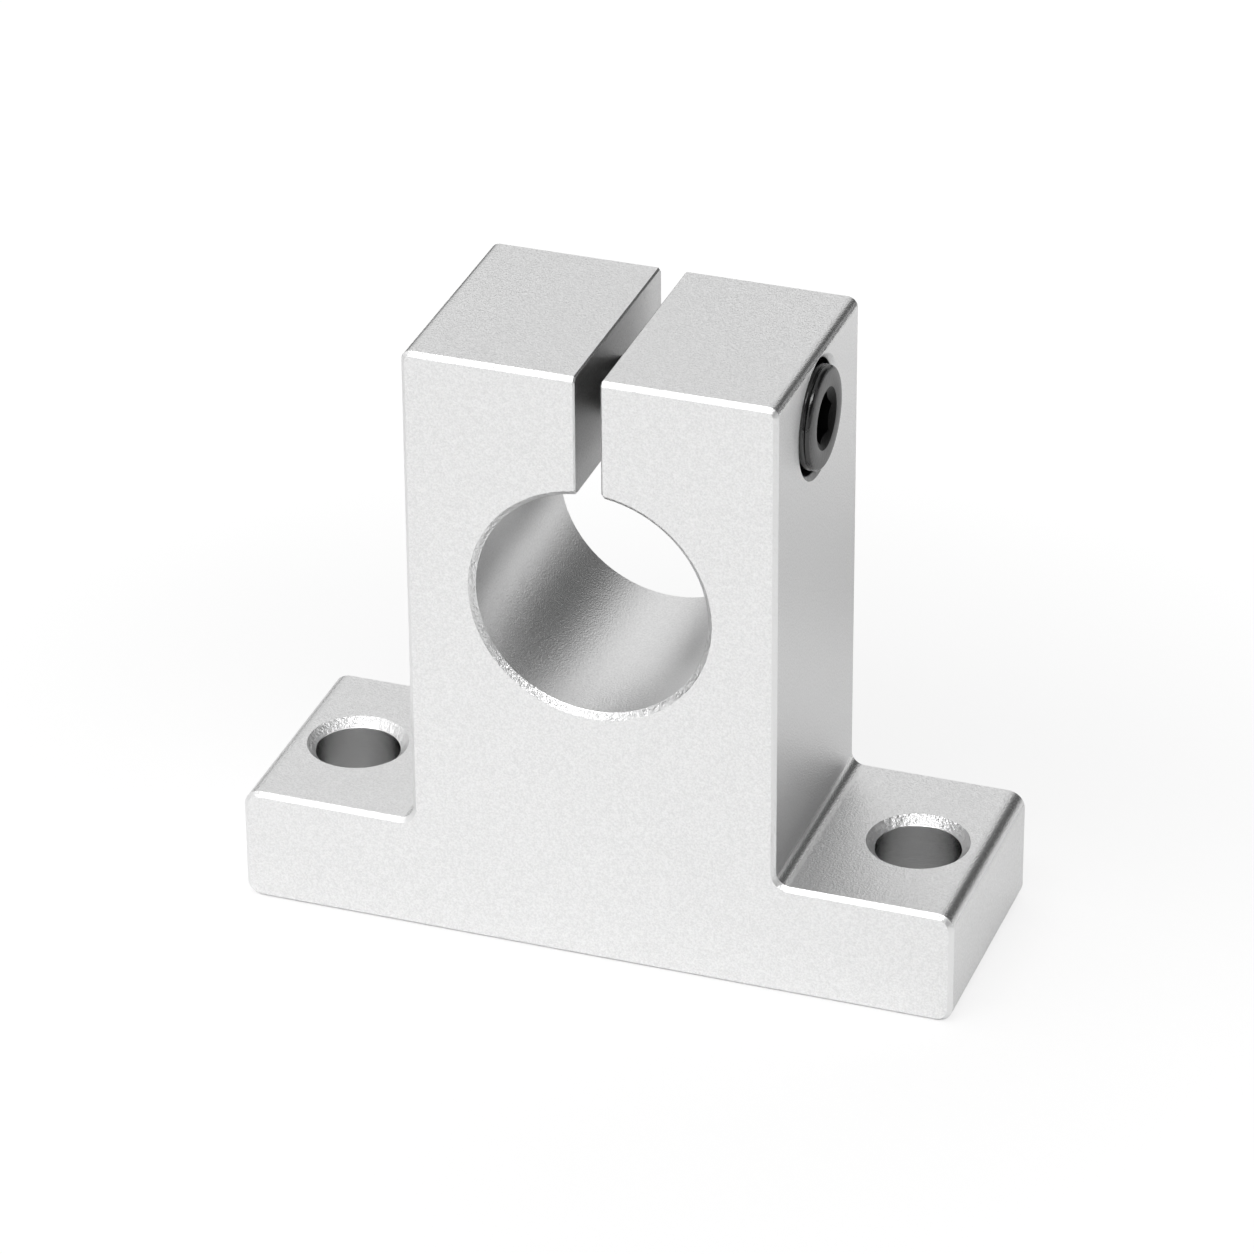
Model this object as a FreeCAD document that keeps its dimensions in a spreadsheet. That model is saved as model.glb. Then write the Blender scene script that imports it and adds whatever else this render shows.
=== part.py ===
import FreeCAD, Part
import math
import os
import Sketcher

# Split support block for a round shaft
# A one-piece aluminium block clamps the shaft: a slot runs down into its bore, and one cap screw
# draws the two ears together. The base is bolted down through a hole in each flange.
# Frame: X across the flanges, Y along the shaft, Z up. The origin is the middle of the base face.
# All sizes are millimetres, and each is written once here.

SIZES = {
    # shaft, and the block around it
    "bore_diameter": 16.0,
    "shaft_height": 27.0,
    "side_wall": 4.75,
    "block_depth": 17.0,
    "slot_width": 1.75,
    # base and its bolt holes
    "flange_height": 8.25,
    "upright_to_hole": 7.25,
    "hole_to_end": 5.0,
    "hole_diameter": 5.8,
    "hole_edge": 0.6,
    "hole_edge_angle": 90.0,
    # cap screw across the ears, with the walls around it
    "screw_diameter": 4.0,
    "head_diameter": 7.0,
    "head_height": 4.0,
    "head_edge_radius": 0.36,
    "socket_width": 3.0,
    "socket_depth": 2.0,
    "socket_ledge": 0.1,
    "socket_mouth": 0.35,
    "socket_mouth_angle": 120.0,
    "drill_angle": 118.0,
    "tip_edge": 0.5,
    "tip_recess": 2.1,
    "rest_angle": 7.0,
    "counterbore_depth": 3.4,
    "head_clearance": 0.4,
    "shank_clearance": 0.25,
    "thread_clearance": 0.05,
    "head_mouth": 0.3,
    "thread_mouth": 0.35,
    "bore_to_screw": 1.55,
    "head_to_top": 0.8,
    # broken and rounded edges
    "face_edge": 0.3,
    "bore_edge": 0.4,
    "slot_edge": 0.12,
    "top_radius": 0.7,
    "flange_radius": 1.2,
    "foot_radius": 0.95,
    "base_radius": 1.1,
}

# What follows from the sizes above, as formulas on the sheet
BORE_RADIUS = "sizes.bore_diameter / 2"
UPRIGHT_WIDTH = "(sizes.bore_diameter + 2 * sizes.side_wall)"
HOLE_PITCH = f"({UPRIGHT_WIDTH} + 2 * sizes.upright_to_hole)"
BASE_WIDTH = f"({HOLE_PITCH} + 2 * sizes.hole_to_end)"
SHANK_HOLE = "(sizes.screw_diameter + 2 * sizes.shank_clearance)"
HEAD_HOLE = "(sizes.head_diameter + 2 * sizes.head_clearance)"
THREAD_HOLE = "(sizes.screw_diameter + 2 * sizes.thread_clearance)"
SCREW_HEIGHT = f"(sizes.shaft_height + {BORE_RADIUS} + sizes.bore_to_screw + {SHANK_HOLE} / 2)"
BLOCK_HEIGHT = f"({SCREW_HEIGHT} + {HEAD_HOLE} / 2 + sizes.head_to_top)"
HEAD_SEAT = f"({UPRIGHT_WIDTH} / 2 - sizes.counterbore_depth)"
SHANK_LENGTH = f"({HEAD_SEAT} + {UPRIGHT_WIDTH} / 2 - sizes.tip_recess)"
HEX_CORNERS = "(sizes.socket_width / cos(30))"
SOCKET_MOUTH = f"({HEX_CORNERS} + 2 * sizes.socket_mouth)"
SOCKET_DRILL = "(sizes.socket_width - 2 * sizes.socket_ledge)"

TOLERANCE = 1e-5
X, Y, Z = range(3)

# Points of a line or circle, and the two axes of a sketch, as its constraints count them
START, END, CENTRE = range(1, 4)
ACROSS, UPWARD = -1, -2


def make_sheet(doc):
    """The sheet that holds every size under its own name."""
    sheet = doc.addObject("Spreadsheet::Sheet", "sizes")
    for row, (name, value) in enumerate(SIZES.items(), start=1):
        sheet.set(f"A{row}", name)
        sheet.set(f"B{row}", str(value))
        sheet.setAlias(f"B{row}", name)
    doc.recompute()
    return sheet


def size(feature, formula):
    """The present value of a formula on the sheet."""
    return float(feature.evalExpression(formula))


def make_sketch(body, name, role, offset=None):
    """A sketch on one of the body's own planes, or beside it by an offset from the sheet."""
    plane = next(item for item in body.Origin.OriginFeatures if item.Role == role)
    sketch = body.newObject("Sketcher::SketchObject", name)
    sketch.AttachmentSupport = [(plane, "")]
    sketch.MapMode = "FlatFace"
    if offset:
        sketch.setExpression(".AttachmentOffset.Base.z", offset)
    return sketch


def dimension(sketch, name, kind, places, formula):
    """A named dimension of a sketch that follows the sheet."""
    index = sketch.addConstraint(Sketcher.Constraint(kind, *places, size(sketch, formula)))
    sketch.renameConstraint(index, name)
    sketch.setExpression(f"Constraints.{name}", formula)


def add_outline(sketch, corners):
    """Closed outline through the corners, one straight line from each to the next."""
    points = [FreeCAD.Vector(across, up, 0) for across, up in corners]
    for index, point in enumerate(points):
        sketch.addGeometry(Part.LineSegment(point, points[(index + 1) % len(points)]), False)
    for index in range(len(points)):
        following = (index + 1) % len(points)
        sketch.addConstraint(Sketcher.Constraint("Coincident", index, END, following, START))


def add_circle(sketch, name, across, up, diameter):
    """A circle of a diameter from the sheet. Its centre is left to other constraints."""
    centre = FreeCAD.Vector(size(sketch, across), size(sketch, up), 0)
    radius = size(sketch, diameter) / 2
    index = sketch.addGeometry(Part.Circle(centre, FreeCAD.Vector(0, 0, 1), radius), False)
    dimension(sketch, name, "Diameter", (index,), diameter)
    return index


def straight_edges(feature, axis, places):
    """Names of the straight edges along an axis that pass through the given places."""
    names = []
    for number, edge in enumerate(feature.Shape.Edges, start=1):
        ends = [vertex.Point for vertex in edge.Vertexes]
        if len(ends) < 2 or not isinstance(edge.Curve, Part.Line):
            continue
        others = [index for index in (X, Y, Z) if index != axis]
        for place in places:
            gaps = [abs(end[index] - place[index]) for end in ends for index in others]
            if max(gaps) < TOLERANCE:
                names.append(f"Edge{number}")
    return names


def round_edges(feature, axis, place, radius):
    """Names of the circular edges of a radius in the plane that a place on an axis gives."""
    names = []
    for number, edge in enumerate(feature.Shape.Edges, start=1):
        curve = edge.Curve
        if isinstance(curve, Part.Circle) and abs(curve.Center[axis] - place) < TOLERANCE:
            if abs(curve.Radius - radius) < TOLERANCE and abs(abs(curve.Axis[axis]) - 1) < TOLERANCE:
                names.append(f"Edge{number}")
    return names


def flat_faces(feature, axis, places):
    """Names of the flat faces square to an axis at the given places on it."""
    names = []
    for number, face in enumerate(feature.Shape.Faces, start=1):
        box = face.BoundBox
        low = (box.XMin, box.YMin, box.ZMin)[axis]
        high = (box.XMax, box.YMax, box.ZMax)[axis]
        if high - low < TOLERANCE and min(abs(low - place) for place in places) < TOLERANCE:
            names.append(f"Face{number}")
    return names


def break_edges(body, name, kind, base, edges, amount):
    """Chamfers or rounds edges of a feature by an amount from the sheet."""
    feature = body.newObject(f"PartDesign::{kind}", name)
    feature.Base = (base, edges)
    feature.setExpression("Radius" if kind == "Fillet" else "Size", amount)
    body.Document.recompute()
    return feature


def pad_or_cut(body, name, kind, sketch, length=None):
    """Pads a sketch to both sides by a length from the sheet, or cuts it right through."""
    feature = body.newObject(f"PartDesign::{kind}", name)
    feature.Profile = sketch
    feature.SideType = "Symmetric"
    if length:
        feature.setExpression("Length", length)
    else:
        feature.Type = "ThroughAll"
    body.Document.recompute()
    return feature


def drill(body, name, sketch, diameter, depth=None):
    """Plain round holes at the circles of a sketch, to a depth or right through."""
    hole = body.newObject("PartDesign::Hole", name)
    hole.Profile = sketch
    body.Document.recompute()
    hole.ThreadType = "None"
    hole.DrillPoint = "Flat"
    hole.setExpression("Diameter", diameter)
    if depth:
        hole.DepthType = "Dimension"
        hole.setExpression("Depth", depth)
    else:
        hole.DepthType = "ThroughAll"
    return hole


def block_blank(body):
    """Solid blank: the upright and its two flanges, cut from one bar."""
    sketch = make_sketch(body, "outline", "XZ_Plane")
    base = size(sketch, BASE_WIDTH) / 2
    upright = size(sketch, UPRIGHT_WIDTH) / 2
    flange = size(sketch, "sizes.flange_height")
    top = size(sketch, BLOCK_HEIGHT)
    add_outline(sketch, [(-base, 0), (base, 0), (base, flange), (upright, flange),
                         (upright, top), (-upright, top), (-upright, flange), (-base, flange)])
    bottom, right_end, right_step, right_side, top_line, left_side, left_step, left_end = range(8)
    for line in (right_end, right_side, left_side, left_end):
        sketch.addConstraint(Sketcher.Constraint("Vertical", line))
    for line in (right_step, left_step):
        sketch.addConstraint(Sketcher.Constraint("Horizontal", line))
    for line in (bottom, top_line):
        sketch.addConstraint(Sketcher.Constraint("Symmetric", line, START, line, END, UPWARD))
    sketch.addConstraint(Sketcher.Constraint("Horizontal", right_step, END, left_step, START))
    sketch.addConstraint(Sketcher.Constraint("PointOnObject", bottom, START, ACROSS))
    dimension(sketch, "base_width", "DistanceX", (bottom, START, bottom, END), BASE_WIDTH)
    dimension(sketch, "upright_width", "DistanceX", (top_line, END, top_line, START), UPRIGHT_WIDTH)
    dimension(sketch, "step", "DistanceY", (right_end, START, right_end, END), "sizes.flange_height")
    dimension(sketch, "height", "DistanceY", (bottom, END, top_line, START), BLOCK_HEIGHT)
    body.Document.recompute()
    blank = pad_or_cut(body, "blank", "Pad", sketch, "sizes.block_depth")

    rounds = {
        "base_round": ("sizes.base_radius", [(base, 0), (-base, 0)]),
        "flange_round": ("sizes.flange_radius", [(base, flange), (-base, flange)]),
        "foot_round": ("sizes.foot_radius", [(upright, flange), (-upright, flange)]),
        "top_round": ("sizes.top_radius", [(upright, top), (-upright, top)]),
    }
    feature = blank
    for name, (radius, corners) in rounds.items():
        edges = straight_edges(feature, Y, [(across, 0, up) for across, up in corners])
        feature = break_edges(body, name, "Fillet", feature, edges, radius)

    depth = size(feature, "sizes.block_depth") / 2
    faces = flat_faces(feature, Y, (-depth, depth))
    break_edges(body, "face_chamfer", "Chamfer", feature, faces, "sizes.face_edge")


def shaft_bore(body):
    """Bore for the shaft, with both mouths chamfered."""
    sketch = make_sketch(body, "bore_circle", "XZ_Plane")
    circle = add_circle(sketch, "bore", "0", "sizes.shaft_height", "sizes.bore_diameter")
    sketch.addConstraint(Sketcher.Constraint("PointOnObject", circle, CENTRE, UPWARD))
    dimension(sketch, "up", "DistanceY", (ACROSS, START, circle, CENTRE), "sizes.shaft_height")
    body.Document.recompute()
    bore = pad_or_cut(body, "bore", "Pocket", sketch)
    depth = size(bore, "sizes.block_depth") / 2
    radius = size(bore, BORE_RADIUS)
    mouths = [edge for place in (-depth, depth) for edge in round_edges(bore, Y, place, radius)]
    break_edges(body, "bore_chamfer", "Chamfer", bore, mouths, "sizes.bore_edge")


def slot(body):
    """Slot from the top into the bore, which lets the ears close. Its edges are lightly broken."""
    sketch = make_sketch(body, "slot_outline", "XZ_Plane")
    half = size(sketch, "sizes.slot_width") / 2
    low = size(sketch, "sizes.shaft_height")
    high = size(sketch, BLOCK_HEIGHT)
    add_outline(sketch, [(-half, low), (half, low), (half, high), (-half, high)])
    bottom, right_side, top_line, left_side = range(4)
    for line in (right_side, left_side):
        sketch.addConstraint(Sketcher.Constraint("Vertical", line))
    sketch.addConstraint(Sketcher.Constraint("Symmetric", bottom, START, bottom, END, UPWARD))
    sketch.addConstraint(Sketcher.Constraint("Horizontal", top_line))
    dimension(sketch, "width", "DistanceX", (bottom, START, bottom, END), "sizes.slot_width")
    dimension(sketch, "low", "DistanceY", (ACROSS, START, bottom, END), "sizes.shaft_height")
    dimension(sketch, "high", "DistanceY", (ACROSS, START, top_line, START), BLOCK_HEIGHT)
    body.Document.recompute()
    cut = pad_or_cut(body, "slot", "Pocket", sketch)
    walls = flat_faces(cut, X, (-half, half))
    break_edges(body, "slot_chamfer", "Chamfer", cut, walls, "sizes.slot_edge")


def base_holes(body):
    """Through hole for the bolt in each flange, with its upper mouth chamfered."""
    sketch = make_sketch(body, "base_hole_circles", "XY_Plane", "sizes.flange_height")
    left = add_circle(sketch, "left_bolt", f"0 - {HOLE_PITCH} / 2", "0", "sizes.hole_diameter")
    right = add_circle(sketch, "right_bolt", f"{HOLE_PITCH} / 2", "0", "sizes.hole_diameter")
    sketch.addConstraint(Sketcher.Constraint("PointOnObject", right, CENTRE, ACROSS))
    sketch.addConstraint(Sketcher.Constraint("Symmetric", left, CENTRE, right, CENTRE, UPWARD))
    dimension(sketch, "pitch", "DistanceX", (left, CENTRE, right, CENTRE), HOLE_PITCH)
    holes = drill(body, "base_holes", sketch, "sizes.hole_diameter")
    holes.HoleCutType = "Countersink"
    holes.setExpression("HoleCutCountersinkAngle", "sizes.hole_edge_angle")
    holes.setExpression("HoleCutDiameter", "sizes.hole_diameter + 2 * sizes.hole_edge")
    body.Document.recompute()


def screw_holes(body):
    """Counterbored hole in the right ear and tapped hole in the left one, on one axis."""
    right = make_sketch(body, "head_hole_circle", "YZ_Plane", f"{UPRIGHT_WIDTH} / 2")
    circle = add_circle(right, "shank_hole", "0", SCREW_HEIGHT, SHANK_HOLE)
    right.addConstraint(Sketcher.Constraint("PointOnObject", circle, CENTRE, UPWARD))
    dimension(right, "up", "DistanceY", (ACROSS, START, circle, CENTRE), SCREW_HEIGHT)
    entry = drill(body, "head_hole", right, SHANK_HOLE, f"{UPRIGHT_WIDTH} / 2")
    entry.HoleCutType = "Counterbore"
    entry.setExpression("HoleCutDiameter", HEAD_HOLE)
    entry.setExpression("HoleCutDepth", "sizes.counterbore_depth")
    body.Document.recompute()
    side = size(entry, UPRIGHT_WIDTH) / 2
    mouth = round_edges(entry, X, side, size(entry, HEAD_HOLE) / 2)
    break_edges(body, "head_mouth", "Chamfer", entry, mouth, "sizes.head_mouth")

    left = make_sketch(body, "thread_hole_circle", "YZ_Plane")
    circle = add_circle(left, "thread_hole", "0", SCREW_HEIGHT, THREAD_HOLE)
    left.addConstraint(Sketcher.Constraint("PointOnObject", circle, CENTRE, UPWARD))
    dimension(left, "up", "DistanceY", (ACROSS, START, circle, CENTRE), SCREW_HEIGHT)
    tapped = drill(body, "thread_hole", left, THREAD_HOLE)
    body.Document.recompute()
    mouth = round_edges(tapped, X, -side, size(tapped, THREAD_HOLE) / 2)
    break_edges(body, "thread_mouth", "Chamfer", tapped, mouth, "sizes.thread_mouth")


def make_block(doc):
    """The block: one piece, with its bore, slot and holes."""
    body = doc.addObject("PartDesign::Body", "block")
    body.Label = "support_block"
    block_blank(body)
    shaft_bore(body)
    slot(body)
    base_holes(body)
    screw_holes(body)
    return body


def screw_blank(body):
    """Turned form of the cap screw, about its own axis, with the head's underside at the origin."""
    sketch = make_sketch(body, "half_section", "XZ_Plane")
    head = size(sketch, "sizes.head_diameter") / 2
    tall = size(sketch, "sizes.head_height")
    shank = size(sketch, "sizes.screw_diameter") / 2
    length = size(sketch, SHANK_LENGTH)
    tip = size(sketch, "sizes.tip_edge")
    add_outline(sketch, [(-length, 0), (tall, 0), (tall, head), (0, head),
                         (0, shank), (tip - length, shank), (-length, shank - tip)])
    axis_line, face, rim, seat, side, cone, end = range(7)
    sketch.addConstraint(Sketcher.Constraint("PointOnObject", axis_line, START, ACROSS))
    sketch.addConstraint(Sketcher.Constraint("PointOnObject", axis_line, END, ACROSS))
    sketch.addConstraint(Sketcher.Constraint("PointOnObject", seat, START, UPWARD))
    for line in (face, seat, end):
        sketch.addConstraint(Sketcher.Constraint("Vertical", line))
    for line in (rim, side):
        sketch.addConstraint(Sketcher.Constraint("Horizontal", line))
    dimension(sketch, "head_height", "DistanceX", (rim, END, rim, START), "sizes.head_height")
    dimension(sketch, "head_radius", "DistanceY", (face, START, face, END), "sizes.head_diameter / 2")
    dimension(sketch, "shank_radius", "DistanceY", (ACROSS, START, side, START),
              "sizes.screw_diameter / 2")
    dimension(sketch, "length", "DistanceX", (axis_line, START, ACROSS, START), SHANK_LENGTH)
    dimension(sketch, "tip_along", "DistanceX", (cone, END, cone, START), "sizes.tip_edge")
    dimension(sketch, "tip_inward", "DistanceY", (cone, END, cone, START), "sizes.tip_edge")
    turned = body.newObject("PartDesign::Revolution", "turned")
    turned.Profile = sketch
    turned.ReferenceAxis = (sketch, ["H_Axis"])
    body.Document.recompute()
    rim_edge = round_edges(turned, X, tall, head)
    break_edges(body, "rim_round", "Fillet", turned, rim_edge, "sizes.head_edge_radius")


def socket(body):
    """Hexagon socket in the head, with a cone at its mouth and a drill point at its bottom."""
    sketch = make_sketch(body, "hexagon", "YZ_Plane", "sizes.head_height")
    corner = size(sketch, HEX_CORNERS) / 2
    sides = 6
    turns = [2 * math.pi * index / sides for index in range(sides)]
    add_outline(sketch, [(corner * math.cos(turn), corner * math.sin(turn)) for turn in turns])
    ring = add_circle(sketch, "corners", "0", "0", HEX_CORNERS)
    sketch.toggleConstruction(ring)
    sketch.addConstraint(Sketcher.Constraint("Coincident", ring, CENTRE, ACROSS, START))
    for line in range(sides):
        sketch.addConstraint(Sketcher.Constraint("PointOnObject", line, START, ring))
    for line in range(1, sides):
        sketch.addConstraint(Sketcher.Constraint("Equal", 0, line))
    sketch.addConstraint(Sketcher.Constraint("PointOnObject", 0, START, ACROSS))
    pocket = body.newObject("PartDesign::Pocket", "socket")
    pocket.Profile = sketch
    pocket.setExpression("Length", "sizes.socket_depth")
    body.Document.recompute()

    # The socket is drilled first, so a cone at its mouth and a drill point at its floor remain
    drilled = make_sketch(body, "socket_circle", "YZ_Plane", "sizes.head_height")
    circle = add_circle(drilled, "socket_drill", "0", "0", SOCKET_DRILL)
    drilled.addConstraint(Sketcher.Constraint("Coincident", circle, CENTRE, ACROSS, START))
    hole = drill(body, "socket_drilling", drilled, SOCKET_DRILL, "sizes.socket_depth")
    hole.DrillPoint = "Angled"
    hole.setExpression("DrillPointAngle", "sizes.drill_angle")
    hole.HoleCutType = "Countersink"
    hole.setExpression("HoleCutCountersinkAngle", "sizes.socket_mouth_angle")
    hole.setExpression("HoleCutDiameter", SOCKET_MOUTH)
    body.Document.recompute()


def make_screw(doc):
    """The cap screw, seated on the floor of its counterbore and turned to where it came tight."""
    body = doc.addObject("PartDesign::Body", "screw")
    body.Label = "clamp_screw"
    screw_blank(body)
    socket(body)
    turn = FreeCAD.Rotation(FreeCAD.Vector(1, 0, 0), size(body, "sizes.rest_angle"))
    body.Placement = FreeCAD.Placement(FreeCAD.Vector(), turn)
    body.setExpression("Placement.Rotation.Angle", "sizes.rest_angle")
    body.setExpression("Placement.Base.x", HEAD_SEAT)
    body.setExpression("Placement.Base.z", SCREW_HEIGHT)
    return body


def check(doc, bodies):
    """Stops with a plain message if a feature has failed or a piece is not one valid solid."""
    failed = [item.Name for item in doc.Objects if {"Invalid", "Error"} & set(item.State)]
    if failed:
        raise RuntimeError(f"these features failed: {', '.join(failed)}")
    for body in bodies:
        shape = body.Shape
        if shape.isNull() or not shape.isValid() or len(shape.Solids) != 1:
            raise RuntimeError(f"{body.Label} is not one valid solid")


def main():
    doc = FreeCAD.newDocument("shaft_support")
    make_sheet(doc)
    bodies = [make_block(doc), make_screw(doc)]
    doc.recompute()
    check(doc, bodies)
    os.makedirs("parts", exist_ok=True)
    for body in bodies:
        body.Shape.exportStep(f"parts/{body.Label}.step")


if __name__ == "__main__":
    main()
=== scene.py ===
import math

import bmesh
import bpy
from mathutils import Matrix, Vector


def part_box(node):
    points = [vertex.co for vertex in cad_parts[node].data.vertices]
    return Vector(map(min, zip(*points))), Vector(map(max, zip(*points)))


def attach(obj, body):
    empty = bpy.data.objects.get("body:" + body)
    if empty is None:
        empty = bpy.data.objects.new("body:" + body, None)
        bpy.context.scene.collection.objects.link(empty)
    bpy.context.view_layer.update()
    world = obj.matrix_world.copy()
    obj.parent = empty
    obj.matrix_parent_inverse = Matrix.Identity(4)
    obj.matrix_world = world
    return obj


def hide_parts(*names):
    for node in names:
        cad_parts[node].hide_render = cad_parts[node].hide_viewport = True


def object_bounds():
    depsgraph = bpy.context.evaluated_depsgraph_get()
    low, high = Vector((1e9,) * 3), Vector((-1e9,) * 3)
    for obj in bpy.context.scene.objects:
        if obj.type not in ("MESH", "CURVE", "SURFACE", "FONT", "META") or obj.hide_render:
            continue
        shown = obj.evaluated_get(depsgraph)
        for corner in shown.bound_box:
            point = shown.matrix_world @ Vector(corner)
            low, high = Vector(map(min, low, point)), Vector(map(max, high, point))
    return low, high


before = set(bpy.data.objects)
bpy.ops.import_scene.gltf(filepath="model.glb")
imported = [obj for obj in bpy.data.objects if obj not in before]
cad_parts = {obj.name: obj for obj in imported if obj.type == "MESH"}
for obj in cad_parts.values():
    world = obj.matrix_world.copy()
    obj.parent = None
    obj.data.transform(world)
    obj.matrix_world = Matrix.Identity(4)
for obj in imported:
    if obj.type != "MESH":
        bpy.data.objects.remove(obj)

cad_low, cad_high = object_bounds()


# Support block: one piece of aluminium, milled to its outline, bored, slotted and drilled, then blasted
# with fine glass beads and clear anodised, which leaves a pale satin grain. The edges towards the front
# and back and the mouths of the holes are broken with a cutter and stay a little ragged.

def linear(colour):
    """Linear values, with full cover, of an sRGB colour that is written as hex."""
    parts = [int(colour[place:place + 2], 16) / 255 for place in (1, 3, 5)]
    return [part / 12.92 if part <= 0.04045 else ((part + 0.055) / 1.055) ** 2.4 for part in parts] + [1]


def add_node(tree, kind, inputs=None, **settings):
    """A node of a kind with its settings. An input is a value or the socket that feeds it. A Mix node
    has its two numbers at inputs 2 and 3, and its two colours at 6 and 7."""
    made = tree.nodes.new(kind)
    for name, value in settings.items():
        setattr(made, name, value)
    for name, value in (inputs or {}).items():
        if isinstance(value, bpy.types.NodeSocket):
            tree.links.new(value, made.inputs[name])
        else:
            made.inputs[name].default_value = value
    return made


def new_material(name):
    """An empty node material, and the tree that it is made in."""
    material = bpy.data.materials.new(name)
    material.use_nodes = True
    material.node_tree.nodes.clear()
    return material, material.node_tree


blasted, tree = new_material("blasted anodised aluminium")
place = add_node(tree, "ShaderNodeTexCoord").outputs["Object"]
facing = add_node(tree, "ShaderNodeNewGeometry").outputs["Normal"]
across, along, up = add_node(tree, "ShaderNodeSeparateXYZ", {0: place}).outputs
sideways = add_node(tree, "ShaderNodeMath", {0: across}, operation="ABSOLUTE").outputs[0]

# A rounded or broken edge is where the surface faces none of the six main directions. The broken
# edges are the ones that also face partly along the shaft, and the mouths of the holes.
flat_from, edge_from, broken_from = 0.98, 0.90, 0.3
turned = add_node(tree, "ShaderNodeVectorMath", {0: facing}, operation="ABSOLUTE").outputs[0]
parts = add_node(tree, "ShaderNodeSeparateXYZ", {0: turned}).outputs
widest = add_node(tree, "ShaderNodeMath", {0: parts[0], 1: parts[1]}, operation="MAXIMUM").outputs[0]
widest = add_node(tree, "ShaderNodeMath", {0: widest, 1: parts[2]}, operation="MAXIMUM").outputs[0]
edge = add_node(tree, "ShaderNodeMapRange", {
    "Value": widest, "From Min": flat_from, "From Max": edge_from},
                interpolation_type="SMOOTHSTEP").outputs[0]
broken = add_node(tree, "ShaderNodeMath", {0: parts[1], 1: broken_from},
                  operation="GREATER_THAN").outputs[0]

# The beads leave pits of about 0.1 mm, drawn a little coarser so that they show. They are deepest on
# the flat faces, and the rounded edges shine more.
grit_size = 0.00013
grit_depth = 0.000055
face_roughness, edge_roughness = 0.28, 0.22
grit = add_node(tree, "ShaderNodeTexNoise", {"Vector": place, "Scale": 1 / grit_size, "Detail": 2.0,
                                            "Roughness": 0.6}).outputs["Fac"]
speckle = add_node(tree, "ShaderNodeMapRange", {"Value": grit, "From Min": 0.3,
                                               "From Max": 0.7}).outputs[0]
colour = add_node(tree, "ShaderNodeMix", {"Factor": speckle, 6: linear("#E7E7E7"), 7: linear("#F9F9F9")},
                  data_type="RGBA").outputs[2]
depth = add_node(tree, "ShaderNodeMix", {0: edge, 2: grit_depth, 3: grit_depth / 3}).outputs[0]
roughness = add_node(tree, "ShaderNodeMapRange", {"Value": edge, "To Min": face_roughness,
                                                 "To Max": edge_roughness}).outputs[0]

# The cut walls lie within a hole's radius of its axis, or within the slot. The skin is the most that a
# facet of the mesh lies off them. The hole for the screw's head is only in the right ear.
bore_radius = 0.008
bore_height = 0.027
hole_radius = 0.0029
hole_reach = 0.020
screw_height = 0.0388
head_hole_radius = 0.0039
slot_half = 0.000875
slot_start = 0.034
skin = 0.00003
wall_depth = 0.6 * grit_depth
inside, mouths = [], 0.0
right_ear = add_node(tree, "ShaderNodeMath", {0: across, 1: slot_half + skin},
                     operation="GREATER_THAN").outputs[0]
# Each hole has two ways across it, its middle on them, its radius, the width of its mouth, the colour
# and roughness of its wall, and the side that it is on. The grey of the wall of the head's hole is
# painted shade in the narrow gap round the head.
for flat, upright, middle, height, radius, mouth, wall, polish, where in (
        (across, up, 0.0, bore_height, bore_radius, 0.0004, "#F9F9F9", 0.28, 1.0),
        (along, up, 0.0, screw_height, head_hole_radius, 0.0003, "#C0C0C0", 0.28, right_ear),
        (sideways, along, hole_reach, 0.0, hole_radius, 0.0006, "#FFFFFF", 0.14, 1.0)):
    offsets = [add_node(tree, "ShaderNodeMath", {0: value, 1: centre}, operation="SUBTRACT").outputs[0]
               for value, centre in ((flat, middle), (upright, height))]
    apart = add_node(tree, "ShaderNodeCombineXYZ", {0: offsets[0], 1: offsets[1]}).outputs[0]
    apart = add_node(tree, "ShaderNodeVectorMath", {0: apart}, operation="LENGTH").outputs["Value"]
    near = add_node(tree, "ShaderNodeMath", {0: apart, 1: radius + mouth + skin},
                    operation="LESS_THAN").outputs[0]
    within = add_node(tree, "ShaderNodeMath", {0: apart, 1: radius + skin},
                      operation="LESS_THAN").outputs[0]
    rim = add_node(tree, "ShaderNodeMath", {0: near, 1: within}, operation="SUBTRACT").outputs[0]
    mouths = add_node(tree, "ShaderNodeMath", {0: rim, 1: mouths}, operation="MAXIMUM").outputs[0]
    within = add_node(tree, "ShaderNodeMath", {0: within, 1: where}, operation="MULTIPLY").outputs[0]
    inside.append((within, wall, polish))
bolt_wall = within
within = add_node(tree, "ShaderNodeMath", {0: sideways, 1: slot_half + skin},
                  operation="LESS_THAN").outputs[0]
above = add_node(tree, "ShaderNodeMath", {0: up, 1: slot_start}, operation="GREATER_THAN").outputs[0]
within = add_node(tree, "ShaderNodeMath", {0: within, 1: above}, operation="MULTIPLY").outputs[0]
# The slot's walls are drawn grey: painted shade in the narrow slot.
inside.append((within, "#E2E2E2", 0.34))
broken = add_node(tree, "ShaderNodeMath", {0: mouths, 1: broken}, operation="MAXIMUM").outputs[0]

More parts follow.
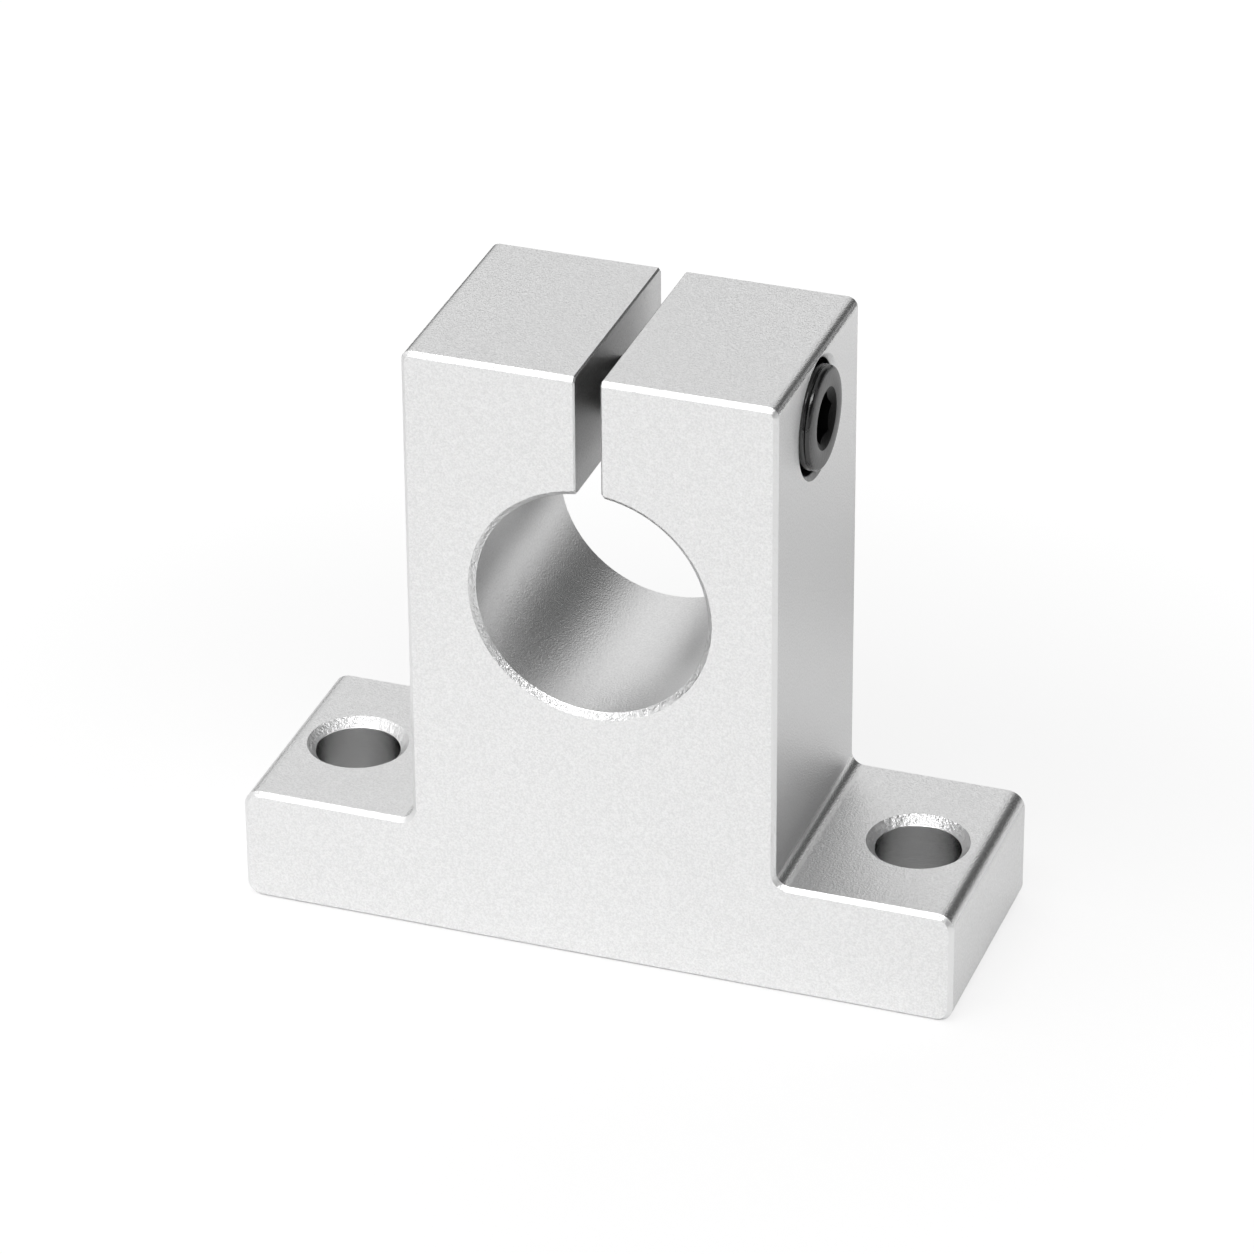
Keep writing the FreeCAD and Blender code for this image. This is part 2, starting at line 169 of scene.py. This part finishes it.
# The broken edges are ragged: their burrs are coarser than the grit, and deepest at the mouths of the
# holes. Where the fillet at the foot runs out on a flange, the cutter left a line of the same kind.
broken = add_node(tree, "ShaderNodeMath", {0: edge, 1: broken}, operation="MULTIPLY").outputs[0]
burr_size = 2.5 * grit_size
edge_burr, mouth_burr = 1.4 * grit_depth, 2.6 * grit_depth
edge_dull, mouth_dull = 0.38, 0.28
foot_line = 0.01357
foot_line_half = 0.00014
foot_line_low = 0.0082
away = add_node(tree, "ShaderNodeMath", {0: sideways, 1: foot_line}, operation="SUBTRACT").outputs[0]
away = add_node(tree, "ShaderNodeMath", {0: away}, operation="ABSOLUTE").outputs[0]
line = add_node(tree, "ShaderNodeMath", {0: away, 1: foot_line_half}, operation="LESS_THAN").outputs[0]
above = add_node(tree, "ShaderNodeMath", {0: up, 1: foot_line_low}, operation="GREATER_THAN").outputs[0]
line = add_node(tree, "ShaderNodeMath", {0: line, 1: above}, operation="MULTIPLY").outputs[0]
broken = add_node(tree, "ShaderNodeMath", {0: line, 1: broken}, operation="MAXIMUM").outputs[0]
burrs = add_node(tree, "ShaderNodeTexNoise", {"Vector": place, "Scale": 1 / burr_size, "Detail": 3.0,
                                             "Roughness": 0.7}).outputs["Fac"]
grit = add_node(tree, "ShaderNodeMix", {0: broken, 2: grit, 3: burrs}).outputs[0]
burr_depth = add_node(tree, "ShaderNodeMix", {0: mouths, 2: edge_burr, 3: mouth_burr}).outputs[0]
depth = add_node(tree, "ShaderNodeMix", {0: broken, 2: depth, 3: burr_depth}).outputs[0]
dull = add_node(tree, "ShaderNodeMix", {0: mouths, 2: edge_dull, 3: mouth_dull}).outputs[0]
roughness = add_node(tree, "ShaderNodeMix", {0: broken, 2: roughness, 3: dull}).outputs[0]
colour = add_node(tree, "ShaderNodeMix", {"Factor": broken, 6: colour, 7: linear("#F0F0F0")},
                  data_type="RGBA").outputs[2]
for within, wall, polish in inside:
    depth = add_node(tree, "ShaderNodeMix", {0: within, 2: depth, 3: wall_depth}).outputs[0]
    roughness = add_node(tree, "ShaderNodeMix", {0: within, 2: roughness, 3: polish}).outputs[0]
    colour = add_node(tree, "ShaderNodeMix", {"Factor": within, 6: colour, 7: linear(wall)},
                      data_type="RGBA", blend_type="MULTIPLY").outputs[2]

# The drill leaves fine rings in the bolt holes, which spread what they mirror up and down the wall. The
# noise is drawn out to 50 times its size round the wall.
ring_pitch = 0.00002
ring_depth = 0.00001
ring_squeeze = 0.02
rings = add_node(tree, "ShaderNodeVectorMath", {0: place, 1: (ring_squeeze, ring_squeeze, 1.0)},
                 operation="MULTIPLY").outputs[0]
rings = add_node(tree, "ShaderNodeTexNoise", {"Vector": rings, "Scale": 1 / ring_pitch,
                                             "Detail": 1.0}).outputs["Fac"]
grit = add_node(tree, "ShaderNodeMix", {0: bolt_wall, 2: grit, 3: rings}).outputs[0]
depth = add_node(tree, "ShaderNodeMix", {0: bolt_wall, 2: depth, 3: ring_depth}).outputs[0]
bump = add_node(tree, "ShaderNodeBump", {"Height": grit, "Strength": 1.0, "Distance": depth})
shader = add_node(tree, "ShaderNodeBsdfPrincipled", {
    "Base Color": colour, "Metallic": 1.0, "Roughness": roughness, "Normal": bump.outputs[0]})
add_node(tree, "ShaderNodeOutputMaterial", {"Surface": shader.outputs[0]})

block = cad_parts["support_block"]
block.material_slots[0].material = blasted


# Clamp screw: a socket head cap screw of steel. The head is upset and turned, with a groove below its
# rounded rim, the socket is punched, and the thread is rolled. Hot oxide blackens it: glossy on the
# turned side, satin on the slightly domed ring of the face, and dull in the socket. The ring is drawn
# grey, partly a painted reflection, and the socket near black, a painted shade in the recess.

screw_low, screw_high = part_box("clamp_screw")
screw_tip, head_face = screw_low[0], screw_high[0]
head_radius = (screw_high[1] - screw_low[1]) / 2
head_height = 0.0040
shank_radius = 0.00198
pitch = 0.0007
thread_depth = 0.00043
tip_radius = 0.0014
neck_length = 0.0014
seat_round = 0.0002
seat_edge = 0.00015
groove_depth = 0.00010
groove_width = 0.00014
groove_below_face = 0.00052
rim_round = 0.00036
mouth_radius = 0.00208
mouth_slope = math.radians(60)
socket_half = 0.0015
socket_depth = 0.0020
drill_radius = 0.0014
drill_slope = math.radians(59)
rest_turn = math.radians(7)
columns = 96


def ring(bm, reach):
    """Vertices round the screw's axis. Reach gives each column its place on the axis and its radius."""
    made = []
    for column in range(columns):
        along, radius = reach(column)
        angle = rest_turn + 2 * math.pi * column / columns
        out, rise = radius * math.cos(angle), radius * math.sin(angle)
        made.append(bm.verts.new((along, out, screw_height + rise)))
    return made


def join_rings(bm, rings, shift=0):
    """Faces between neighbouring rings. On a thread the last column joins a later ring by the shift."""
    for index in range(len(rings) - 1 - shift):
        for column in range(columns):
            turned = (column + 1) % columns
            after = index if turned else index + shift
            bm.faces.new((rings[index][column], rings[index + 1][column],
                          rings[after + 1][turned], rings[after][turned]))


def thread(bm, low, high, profile, trim):
    """The skin of a right-hand thread between two places. Trim shapes its radius near the ends."""
    rings = []
    for turn in range(-1, math.ceil((high - low) / pitch) + 1):
        for share, radius in profile:
            def climb(column):
                along = low + pitch * (turn + share + column / columns)
                along = min(max(along, low), high)
                return along, trim(along, radius)
            rings.append(ring(bm, climb))
    join_rings(bm, rings, len(profile))


def finished(bm, name, material):
    """The mesh as an object, with doubled points merged and edges over 30 degrees kept sharp."""
    bmesh.ops.remove_doubles(bm, verts=bm.verts, dist=1e-7)
    bmesh.ops.dissolve_degenerate(bm, edges=bm.edges, dist=1e-7)
    bmesh.ops.recalc_face_normals(bm, faces=bm.faces)
    for face in bm.faces:
        face.smooth = True
    mesh = bpy.data.meshes.new(name)
    bm.to_mesh(mesh)
    bm.free()
    mesh.set_sharp_from_angle(angle=math.radians(30))
    mesh.materials.append(material)
    piece = bpy.data.objects.new(name, mesh)
    bpy.context.scene.collection.objects.link(piece)
    return piece


def hexagon(column):
    """Distance from the axis to the socket's wall."""
    side = columns // 6
    return socket_half / math.cos(2 * math.pi * (column % side - side / 2) / columns)


black_oxide, tree = new_material("black oxide steel")
place = add_node(tree, "ShaderNodeTexCoord").outputs["Object"]
facing = add_node(tree, "ShaderNodeNewGeometry").outputs["Normal"]
parts = add_node(tree, "ShaderNodeSeparateXYZ", {0: facing}).outputs
side_from, face_from = 0.6, 0.95
flat = add_node(tree, "ShaderNodeMapRange", {
    "Value": parts[0], "From Min": side_from, "From Max": face_from},
                interpolation_type="SMOOTHSTEP").outputs[0]
socket_edge = 0.0021
apart = add_node(tree, "ShaderNodeVectorMath", {0: place, 1: (head_face, 0.0, screw_height)},
                 operation="DISTANCE").outputs["Value"]
socket = add_node(tree, "ShaderNodeMath", {0: apart, 1: socket_edge}, operation="LESS_THAN").outputs[0]

# The oxide is mottled where it isn't polished. The mottle is drawn at 0.25 mm, coarse enough to show.
mottle_size = 0.00025
mottle_depth = 0.00002
side_roughness, socket_roughness = 0.08, 0.5
mottle = add_node(tree, "ShaderNodeTexNoise", {"Vector": place, "Scale": 1 / mottle_size, "Detail": 3.0,
                                              "Roughness": 0.6}).outputs["Fac"]
satin = add_node(tree, "ShaderNodeMapRange", {"Value": mottle, "From Min": 0.3, "From Max": 0.7,
                                             "To Min": 0.30, "To Max": 0.42}).outputs[0]
roughness = add_node(tree, "ShaderNodeMix", {0: flat, 2: side_roughness, 3: satin}).outputs[0]
roughness = add_node(tree, "ShaderNodeMix", {0: socket, 2: roughness, 3: socket_roughness}).outputs[0]
bump = add_node(tree, "ShaderNodeBump", {"Height": mottle, "Strength": 1.0,
                                        "Distance": mottle_depth}).outputs[0]
# The face's ring is drawn a lighter grey than the side. This is partly its satin finish and partly a
# painted reflection of the bright table that it faces at a glancing view.
face_grey_and_sheen = add_node(tree, "ShaderNodeMath", {0: flat, 1: mottle}, operation="MULTIPLY").outputs[0]
colour = add_node(tree, "ShaderNodeMix", {"Factor": face_grey_and_sheen, 6: linear("#4C4C4C"), 7: linear("#808080")},
                  data_type="RGBA").outputs[2]
# Inside the socket the colour is near black: painted shade in the recess.
colour = add_node(tree, "ShaderNodeMix", {"Factor": socket, 6: colour, 7: linear("#1A1A1A")},
                  data_type="RGBA").outputs[2]
shader = add_node(tree, "ShaderNodeBsdfPrincipled", {
    "Base Color": colour, "Metallic": 1.0, "Roughness": roughness, "Normal": bump})
add_node(tree, "ShaderNodeOutputMaterial", {"Surface": shader.outputs[0]})

head_seat = head_face - head_height
neck = head_seat - neck_length
root_radius = shank_radius - thread_depth
root_hollow = thread_depth / 12
rolled = [(0.0, shank_radius), (0.125, shank_radius), (0.4375, root_radius),
          (0.5625, root_radius - root_hollow), (0.6875, root_radius)]

# The skin is built from the tip to the socket. The thread runs out to a bare neck below the head.
bm = bmesh.new()
thread(bm, screw_tip, neck, rolled, lambda along, radius: min(
    max(radius, shank_radius - (neck - along) / 2), tip_radius + along - screw_tip))
outline = [(neck, shank_radius), (head_seat - seat_round, shank_radius)]
outline += [(head_seat - seat_round * (1 - math.sin(turn)),
             shank_radius + seat_round * (1 - math.cos(turn)))
            for turn in (math.pi / 8, math.pi / 4, 3 * math.pi / 8, math.pi / 2)]
outline += [(head_seat, head_radius - seat_edge), (head_seat + seat_edge, head_radius)]
groove = head_face - groove_below_face
outline += [(groove + groove_width * step,
             head_radius - groove_depth * math.cos(math.pi * step / 2) ** 2)
            for step in (-1, -0.75, -0.5, -0.25, 0, 0.25, 0.5, 0.75, 1)]
rim_end = 7 * math.pi / 16
face_edge = head_radius - rim_round * (1 - math.cos(rim_end))
face_middle, face_half = (face_edge + mouth_radius) / 2, (face_edge - mouth_radius) / 2
crown = face_half / math.tan(rim_end) / 2
outline += [(head_face - crown - rim_round * (math.sin(rim_end) - math.sin(turn)),
             head_radius - rim_round * (1 - math.cos(turn)))
            for turn in (math.pi * step / 16 for step in range(7))]
outline += [(head_face - crown * share ** 2, face_middle + face_half * share)
            for share in (1, 0.75, 0.5, 0.25, 0, -0.25, -0.5, -0.75, -1)]
rings = [ring(bm, lambda column: spot) for spot in outline]
rings.append(ring(bm, lambda column: (
    head_face - crown - (mouth_radius - hexagon(column)) / math.tan(mouth_slope), hexagon(column))))
rings.append(ring(bm, lambda column: (head_face - socket_depth, hexagon(column))))
rings.append(ring(bm, lambda column: (head_face - socket_depth, drill_radius)))
join_rings(bm, rings)

# The drill point in the socket and the flat tip each close on one vertex in the middle.
for rim, end in ((rings[-1], head_face - socket_depth - drill_radius / math.tan(drill_slope)),
                 (ring(bm, lambda column: (screw_tip, tip_radius)), screw_tip)):
    middle = bm.verts.new((end, 0, screw_height))
    for column in range(columns):
        bm.faces.new((rim[column], rim[(column + 1) % columns], middle))

cap_screw = finished(bm, "socket_cap_screw", black_oxide)
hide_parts("clamp_screw")
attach(cap_screw, "screw")


# Tapped thread: cut into the left ear for the screw, and open to view at the ear's outer side. It is a
# ring of bare cut aluminium here, set in the wall of the drilled hole just beyond the screw's tip.

cut_aluminium, tree = new_material("cut aluminium thread")
place = add_node(tree, "ShaderNodeTexCoord").outputs["Object"]

# The tap tears the metal in specks of 0.1 mm.
tear_size = 0.0001
tear_depth = 0.00001
tears = add_node(tree, "ShaderNodeTexNoise", {"Vector": place, "Scale": 1 / tear_size,
                                             "Detail": 2.0}).outputs["Fac"]
roughness = add_node(tree, "ShaderNodeMapRange", {"Value": tears, "To Min": 0.2,
                                                 "To Max": 0.4}).outputs[0]
bump = add_node(tree, "ShaderNodeBump", {"Height": tears, "Strength": 1.0,
                                        "Distance": tear_depth}).outputs[0]
shader = add_node(tree, "ShaderNodeBsdfPrincipled", {
    "Base Color": linear("#E5E5E5"), "Metallic": 1.0, "Roughness": roughness, "Normal": bump})
add_node(tree, "ShaderNodeOutputMaterial", {"Surface": shader.outputs[0]})

tip_gap = 0.0001
tapped_from = -0.0124
tapped_to = screw_tip - tip_gap
wall_radius = 0.00204
crest_radius = 0.00164
back_radius = 0.00208
tapped = [(0.0, wall_radius), (0.125, wall_radius), (0.4375, crest_radius), (0.6875, crest_radius)]
bm = bmesh.new()
thread(bm, tapped_from, tapped_to, tapped,
       lambda along, radius: max(radius, wall_radius - min(along - tapped_from, tapped_to - along)))
back = [(tapped_from, wall_radius), (tapped_from, back_radius),
        (tapped_to, back_radius), (tapped_to, wall_radius)]
join_rings(bm, [ring(bm, lambda column: spot) for spot in back])
tapped_thread = finished(bm, "tapped_thread", cut_aluminium)
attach(tapped_thread, "block")


# Studio: a matt white table in an even pale room, with a long softbox above the front, a pale panel at
# the back left and a dark gap at the back right, which draw the lines in the metal. The table is painted
# grey behind the block, a painted shadow of it, and a small dark patch there, seen only in reflections,
# is a painted shadow for the left wall of the bore to mirror.

table, tree = new_material("matt white table")
table_white = 1.03
mirrored_glow = 0.08
shadow_near, shadow_far = 0.03, 0.08
glow_in_shadow = 0.75
shade_from, shade_to, pale_from, pale_to = -0.008, 0.035, 0.070, 0.100
shadow_patch_middle = (0.007, 0.050, 0.0)
shadow_patch_outer, shadow_patch_inner = 0.018, 0.008
path = add_node(tree, "ShaderNodeLightPath").outputs
shine = add_node(tree, "ShaderNodeMath", {0: path["Is Glossy Ray"], 1: path["Is Transmission Ray"]},
                 operation="MAXIMUM").outputs[0]
shine = add_node(tree, "ShaderNodeMath", {0: shine, 1: mirrored_glow}, operation="MULTIPLY").outputs[0]
place = add_node(tree, "ShaderNodeTexCoord").outputs["Object"]
spots = add_node(tree, "ShaderNodeSeparateXYZ", {0: place}).outputs
beside = 0.0
for spot, half in ((spots[0], cad_high[0]), (spots[1], cad_high[1])):
    out = add_node(tree, "ShaderNodeMath", {0: spot}, operation="ABSOLUTE").outputs[0]
    out = add_node(tree, "ShaderNodeMath", {0: out, 1: half}, operation="GREATER_THAN").outputs[0]
    beside = add_node(tree, "ShaderNodeMath", {0: out, 1: beside}, operation="MAXIMUM").outputs[0]
shine = add_node(tree, "ShaderNodeMath", {0: shine, 1: beside}, operation="MULTIPLY").outputs[0]
away = add_node(tree, "ShaderNodeVectorMath", {0: place}, operation="LENGTH").outputs["Value"]
whiter = add_node(tree, "ShaderNodeMapRange", {
    "Value": away, "From Min": shadow_near, "From Max": shadow_far, "To Min": glow_in_shadow},
                  interpolation_type="SMOOTHSTEP").outputs[0]
seen = add_node(tree, "ShaderNodeMath", {0: path["Is Camera Ray"], 1: whiter},
                operation="MULTIPLY").outputs[0]
lift = add_node(tree, "ShaderNodeMath", {0: seen, 1: shine}, operation="MAXIMUM").outputs[0]
# The table turns grey from the block's back face to 70 to 100 mm behind it: a painted shadow of the
# block.
behind = add_node(tree, "ShaderNodeMapRange", {
    "Value": spots[1], "From Min": shade_from, "From Max": shade_to},
                  interpolation_type="SMOOTHSTEP").outputs[0]
beyond = add_node(tree, "ShaderNodeMapRange", {
    "Value": spots[1], "From Min": pale_from, "From Max": pale_to},
                  interpolation_type="SMOOTHSTEP").outputs[0]
behind = add_node(tree, "ShaderNodeMath", {0: behind, 1: beyond}, operation="SUBTRACT").outputs[0]
shade = add_node(tree, "ShaderNodeMix", {"Factor": behind, 6: linear("#FEFEFE"), 7: linear("#DEDEDE")},
                 data_type="RGBA").outputs[2]
# A dark patch on the table behind the block, seen only by glossy rays: a painted shadow for the bore's
# left wall to mirror.
painted_shadow_patch = add_node(tree, "ShaderNodeVectorMath", {0: place, 1: shadow_patch_middle},
                operation="DISTANCE").outputs["Value"]
painted_shadow_patch = add_node(tree, "ShaderNodeMapRange", {
    "Value": painted_shadow_patch, "From Min": shadow_patch_outer, "From Max": shadow_patch_inner},
                interpolation_type="SMOOTHSTEP").outputs[0]
painted_shadow_patch = add_node(tree, "ShaderNodeMath", {0: painted_shadow_patch, 1: path["Is Glossy Ray"]},
                operation="MULTIPLY").outputs[0]
shade = add_node(tree, "ShaderNodeMix", {"Factor": painted_shadow_patch, 6: shade, 7: linear("#303030")},
                 data_type="RGBA").outputs[2]
matt = add_node(tree, "ShaderNodeBsdfDiffuse", {"Color": shade}).outputs[0]
glow = add_node(tree, "ShaderNodeEmission", {"Strength": table_white}).outputs[0]
both = add_node(tree, "ShaderNodeMixShader", {0: lift, 1: matt, 2: glow}).outputs[0]
add_node(tree, "ShaderNodeOutputMaterial", {"Surface": both})

table_drop = 0.00001
left, right, front, back = -0.6, 0.25, -0.6, 0.16
mesh = bpy.data.meshes.new("table")
corners = [(left, front), (right, front), (right, back), (left, back)]
mesh.from_pydata([(x, y, -table_drop) for x, y in corners], [], [(0, 1, 2, 3)])
mesh.materials.append(table)
floor = bpy.data.objects.new("table", mesh)
bpy.context.scene.collection.objects.link(floor)

# The room's walls are bright and dark screens, each over the ones before it. All but the last number
# are degrees: azimuth from the back towards the right, elevation, half width, half height, soft edge.
# The last is brightness.
screens = [
    (75, 30, 70, 50, 40, 0.48),
    (-40, 32, 40, 20, 30, 0.91),
    (-35, 0, 30, 9, 8, 0.20),
    (42, 28, 26.5, 23, 3, 0.10),
    (125, 40, 35, 22, 10, 0.12),
    (-140, 20, 40, 40, 30, 0.96),
    (0, -46, 181, 44, 4, 0.12),
    (176, 61, 56, 8, 4, 5.0),
]
world = bpy.data.worlds.new("pale room")
bpy.context.scene.world = world
world.use_nodes = True
tree = world.node_tree
tree.nodes.clear()
direction = add_node(tree, "ShaderNodeTexCoord").outputs["Generated"]
parts = add_node(tree, "ShaderNodeSeparateXYZ", {0: direction}).outputs
round_it = add_node(tree, "ShaderNodeMath", {0: parts[0], 1: parts[1]}, operation="ARCTAN2").outputs[0]
above = add_node(tree, "ShaderNodeMath", {0: parts[2]}, operation="ARCSINE").outputs[0]
room_light = 0.72
light = room_light
for azimuth, elevation, half_width, half_height, soft, brightness in screens:
    share = 1.0
    for angle, middle, half in ((round_it, azimuth, half_width), (above, elevation, half_height)):
        away = add_node(tree, "ShaderNodeMath", {0: angle, 1: math.radians(middle)},
                        operation="SUBTRACT").outputs[0]
        away = add_node(tree, "ShaderNodeMath", {0: away, 1: math.pi}, operation="PINGPONG").outputs[0]
        lit = add_node(tree, "ShaderNodeMapRange", {
            "Value": away, "From Min": math.radians(half + soft / 2),
            "From Max": math.radians(half - soft / 2)}, interpolation_type="SMOOTHSTEP").outputs[0]
        share = add_node(tree, "ShaderNodeMath", {0: lit, 1: share}, operation="MULTIPLY").outputs[0]
    light = add_node(tree, "ShaderNodeMix", {0: share, 2: light, 3: brightness}).outputs[0]
path = add_node(tree, "ShaderNodeLightPath").outputs
light = add_node(tree, "ShaderNodeMix", {0: path["Is Camera Ray"], 2: light, 3: 1.0}).outputs[0]
sky = add_node(tree, "ShaderNodeBackground", {"Color": (1, 1, 1, 1), "Strength": light})
add_node(tree, "ShaderNodeOutputWorld", {"Surface": sky.outputs[0]})


# Camera: a long lens, where the photograph was taken from: above the front, and to the right. Its place
# and lens were worked out from the block's edges in the picture.

view_turn = 19.625
view_rise = 29.653
view_roll = -0.408
view_distance = 0.432875
view_target = Vector((-0.006811, 0.017873, 0.010053))
view_lens = 177.78
view_sensor = 36.0
turn, rise = math.radians(view_turn), math.radians(view_rise)
camera = bpy.data.objects.new("camera", bpy.data.cameras.new("camera"))
camera.data.sensor_width = view_sensor
camera.data.lens = view_lens
camera.matrix_world = (
    Matrix.Translation(view_target) @ Matrix.Rotation(turn, 4, "Z")
    @ Matrix.Rotation(math.pi / 2 - rise, 4, "X") @ Matrix.Rotation(math.radians(view_roll), 4, "Z")
    @ Matrix.Translation((0, 0, view_distance)))
bpy.context.scene.collection.objects.link(camera)
bpy.context.scene.camera = camera
bpy.context.scene.view_settings.view_transform = "Standard"
